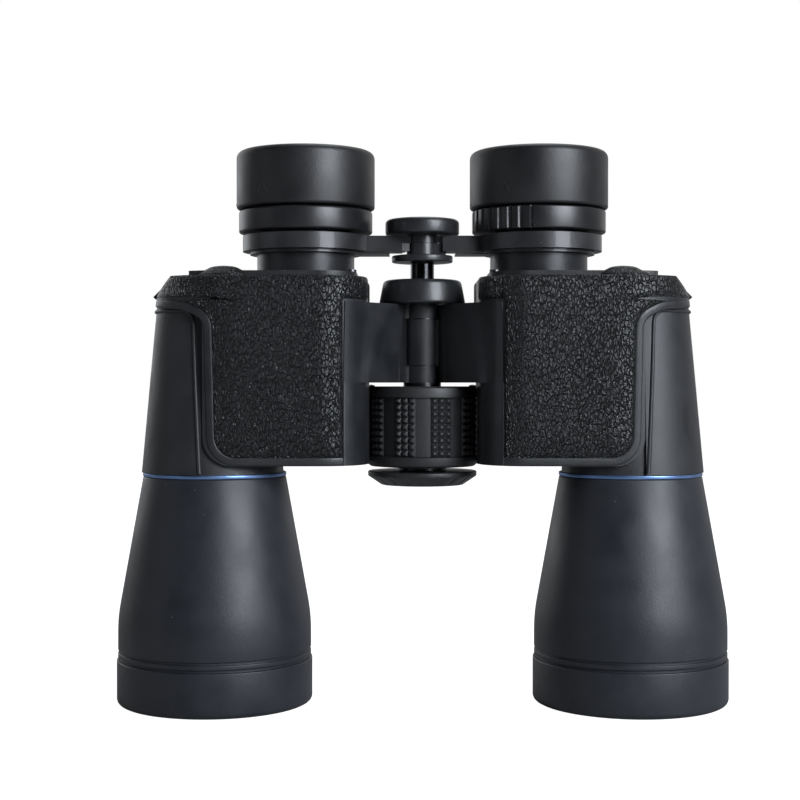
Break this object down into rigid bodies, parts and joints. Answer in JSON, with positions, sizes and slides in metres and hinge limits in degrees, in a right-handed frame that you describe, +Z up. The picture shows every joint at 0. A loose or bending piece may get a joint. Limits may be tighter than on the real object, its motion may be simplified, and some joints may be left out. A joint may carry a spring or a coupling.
{
  "type": "binoculars",
  "caption": "Porro-prism binoculars with centre focus, folding hinge, twist-up eyecups, dioptre ring and a covered tripod socket.",
  "frame": {"origin": "on the standing plane of the objective rims, midway between the two barrels", "axes": "+Z up along the optical axes, +X to the half with the dioptre ring, -Y to the underside"},
  "size_m": [0.1914, 0.061, 0.173],
  "materials": {
    "painted_casting": "die casting in satin black paint",
    "textured_rubber": "leather-grain armour, semi-matt",
    "smooth_armour": "smooth semi-matt armour",
    "black_plastic": "moulded black, satin",
    "blackened_steel": "blackened",
    "polished_black_steel": "black nickel, polished",
    "spring_steel": "bright",
    "barrel_finish": "soft-touch satin black",
    "blue_anodised": "blue anodised, bright",
    "coated_glass": "blue multicoated",
    "prism_glass": "polished",
    "black_anodised": "matt black anodised",
    "satin_black_metal": "satin black, turned",
    "eyecup_rubber": "smooth rubber",
    "grip_rubber": "moulded pyramids, matt",
    "brass_washers": "thin thrust washers",
    "brass_socket": "turned, threaded"
  },
  "bodies": {
    "left_half": {"left_bottom_cover": "black_plastic", "left_cover_screws": "blackened_steel", "left_covering": "textured_rubber", "left_crown_lens": "coated_glass", "left_eyepiece_prism": "prism_glass", "left_flint_lens": "coated_glass", "left_housing": "painted_casting", "left_lens_cell": "black_anodised", "left_lens_retainer": "black_anodised", "left_neck_armour": "smooth_armour", "left_objective_barrel": "barrel_finish", "left_objective_prism": "prism_glass", "left_prism_clips": "spring_steel", "left_prism_shelf": "black_anodised", "left_strap_lug": "blackened_steel", "left_top_cover": "black_plastic", "left_trim_ring": "blue_anodised", "hinge_axle": "blackened_steel", "hinge_washers": "brass_washers", "hinge_collar": "satin_black_metal", "tripod_socket": "brass_socket"},
    "right_half": {"right_bottom_cover": "black_plastic", "right_cover_screws": "blackened_steel", "right_covering": "textured_rubber", "right_crown_lens": "coated_glass", "right_eyepiece_prism": "prism_glass", "right_flint_lens": "coated_glass", "right_housing": "painted_casting", "right_lens_cell": "black_anodised", "right_lens_retainer": "black_anodised", "right_neck_armour": "smooth_armour", "right_objective_barrel": "barrel_finish", "right_objective_prism": "prism_glass", "right_prism_clips": "spring_steel", "right_prism_shelf": "black_anodised", "right_strap_lug": "blackened_steel", "right_top_cover": "black_plastic", "right_trim_ring": "blue_anodised"},
    "focus_wheel": {"focus_wheel": "black_plastic", "focus_grip": "grip_rubber"},
    "left_eyepiece": {"left_eyepiece_tube": "black_anodised", "left_ocular_cell": "black_anodised", "left_field_lens": "coated_glass", "left_eye_lens": "coated_glass", "left_bridge_arm": "painted_casting", "left_eyepiece_ring": "black_plastic", "focus_rod": "polished_black_steel", "bridge_washer": "satin_black_metal", "bridge_cap": "satin_black_metal"},
    "right_eyepiece": {"right_eyepiece_tube": "black_anodised", "right_bridge_arm": "painted_casting"},
    "right_ocular": {"right_ocular_cell": "black_anodised", "right_field_lens": "coated_glass", "right_eye_lens": "coated_glass"},
    "dioptre_ring": {"dioptre_ring": "black_plastic"},
    "left_eyecup_sleeve": {"left_eyecup_sleeve": "black_plastic"},
    "left_eyecup": {"left_eyecup": "eyecup_rubber"},
    "right_eyecup_sleeve": {"right_eyecup_sleeve": "black_plastic"},
    "right_eyecup": {"right_eyecup": "eyecup_rubber"},
    "tripod_cap": {"tripod_cap": "black_plastic"}
  },
  "joints": [
    {"name": "ipd_fold", "type": "hinge", "parent": "left_half", "child": "right_half", "pos_m": [0, 0.008, 0.112], "axis": [0, 0, -1], "range_deg": [0, 72]},
    {"name": "focus_spin", "type": "hinge", "parent": "left_half", "child": "focus_wheel", "pos_m": [0, 0.008, 0.086], "axis": [0, 0, 1], "range_deg": [-190, 181]},
    {"name": "left_eyepiece_travel", "type": "slide", "parent": "left_half", "child": "left_eyepiece", "axis": [0, 0, 1], "range_m": [-0.0042, 0.004]},
    {"name": "right_eyepiece_travel", "type": "slide", "parent": "right_half", "child": "right_eyepiece", "axis": [0, 0, 1], "range_m": [-0.0042, 0.004]},
    {"name": "dioptre_turn", "type": "hinge", "parent": "right_eyepiece", "child": "dioptre_ring", "pos_m": [0.0371, 0.008, 0.1506], "axis": [0, 0, 1], "range_deg": [-60, 60]},
    {"name": "right_ocular_travel", "type": "slide", "parent": "right_eyepiece", "child": "right_ocular", "axis": [0, 0, 1], "range_m": [-0.0012, 0.0012]},
    {"name": "left_eyecup_rise", "type": "slide", "parent": "left_eyepiece", "child": "left_eyecup_sleeve", "axis": [0, 0, 1], "range_m": [0, 0.0065]},
    {"name": "left_eyecup_twist", "type": "hinge", "parent": "left_eyecup_sleeve", "child": "left_eyecup", "pos_m": [-0.0371, 0.008, 0.164], "axis": [0, 0, 1], "range_deg": [0, 90]},
    {"name": "right_eyecup_rise", "type": "slide", "parent": "right_eyepiece", "child": "right_eyecup_sleeve", "axis": [0, 0, 1], "range_m": [0, 0.0065]},
    {"name": "right_eyecup_twist", "type": "hinge", "parent": "right_eyecup_sleeve", "child": "right_eyecup", "pos_m": [0.0371, 0.008, 0.164], "axis": [0, 0, 1], "range_deg": [0, 90]},
    {"name": "tripod_cap_lift", "type": "slide", "parent": "left_half", "child": "tripod_cap", "axis": [0, 0, -1], "range_m": [0, 0.03]}
  ],
  "couplings": [
    {"joint": "focus_spin", "follows": "left_eyepiece_travel", "rad_per_m": 785.4},
    {"joint": "right_eyepiece_travel", "follows": "left_eyepiece_travel", "ratio": 1},
    {"joint": "dioptre_turn", "follows": "right_ocular_travel", "rad_per_m": 869.57},
    {"joint": "left_eyecup_twist", "follows": "left_eyecup_rise", "rad_per_m": 241.55},
    {"joint": "right_eyecup_twist", "follows": "right_eyecup_rise", "rad_per_m": 241.55}
  ]
}
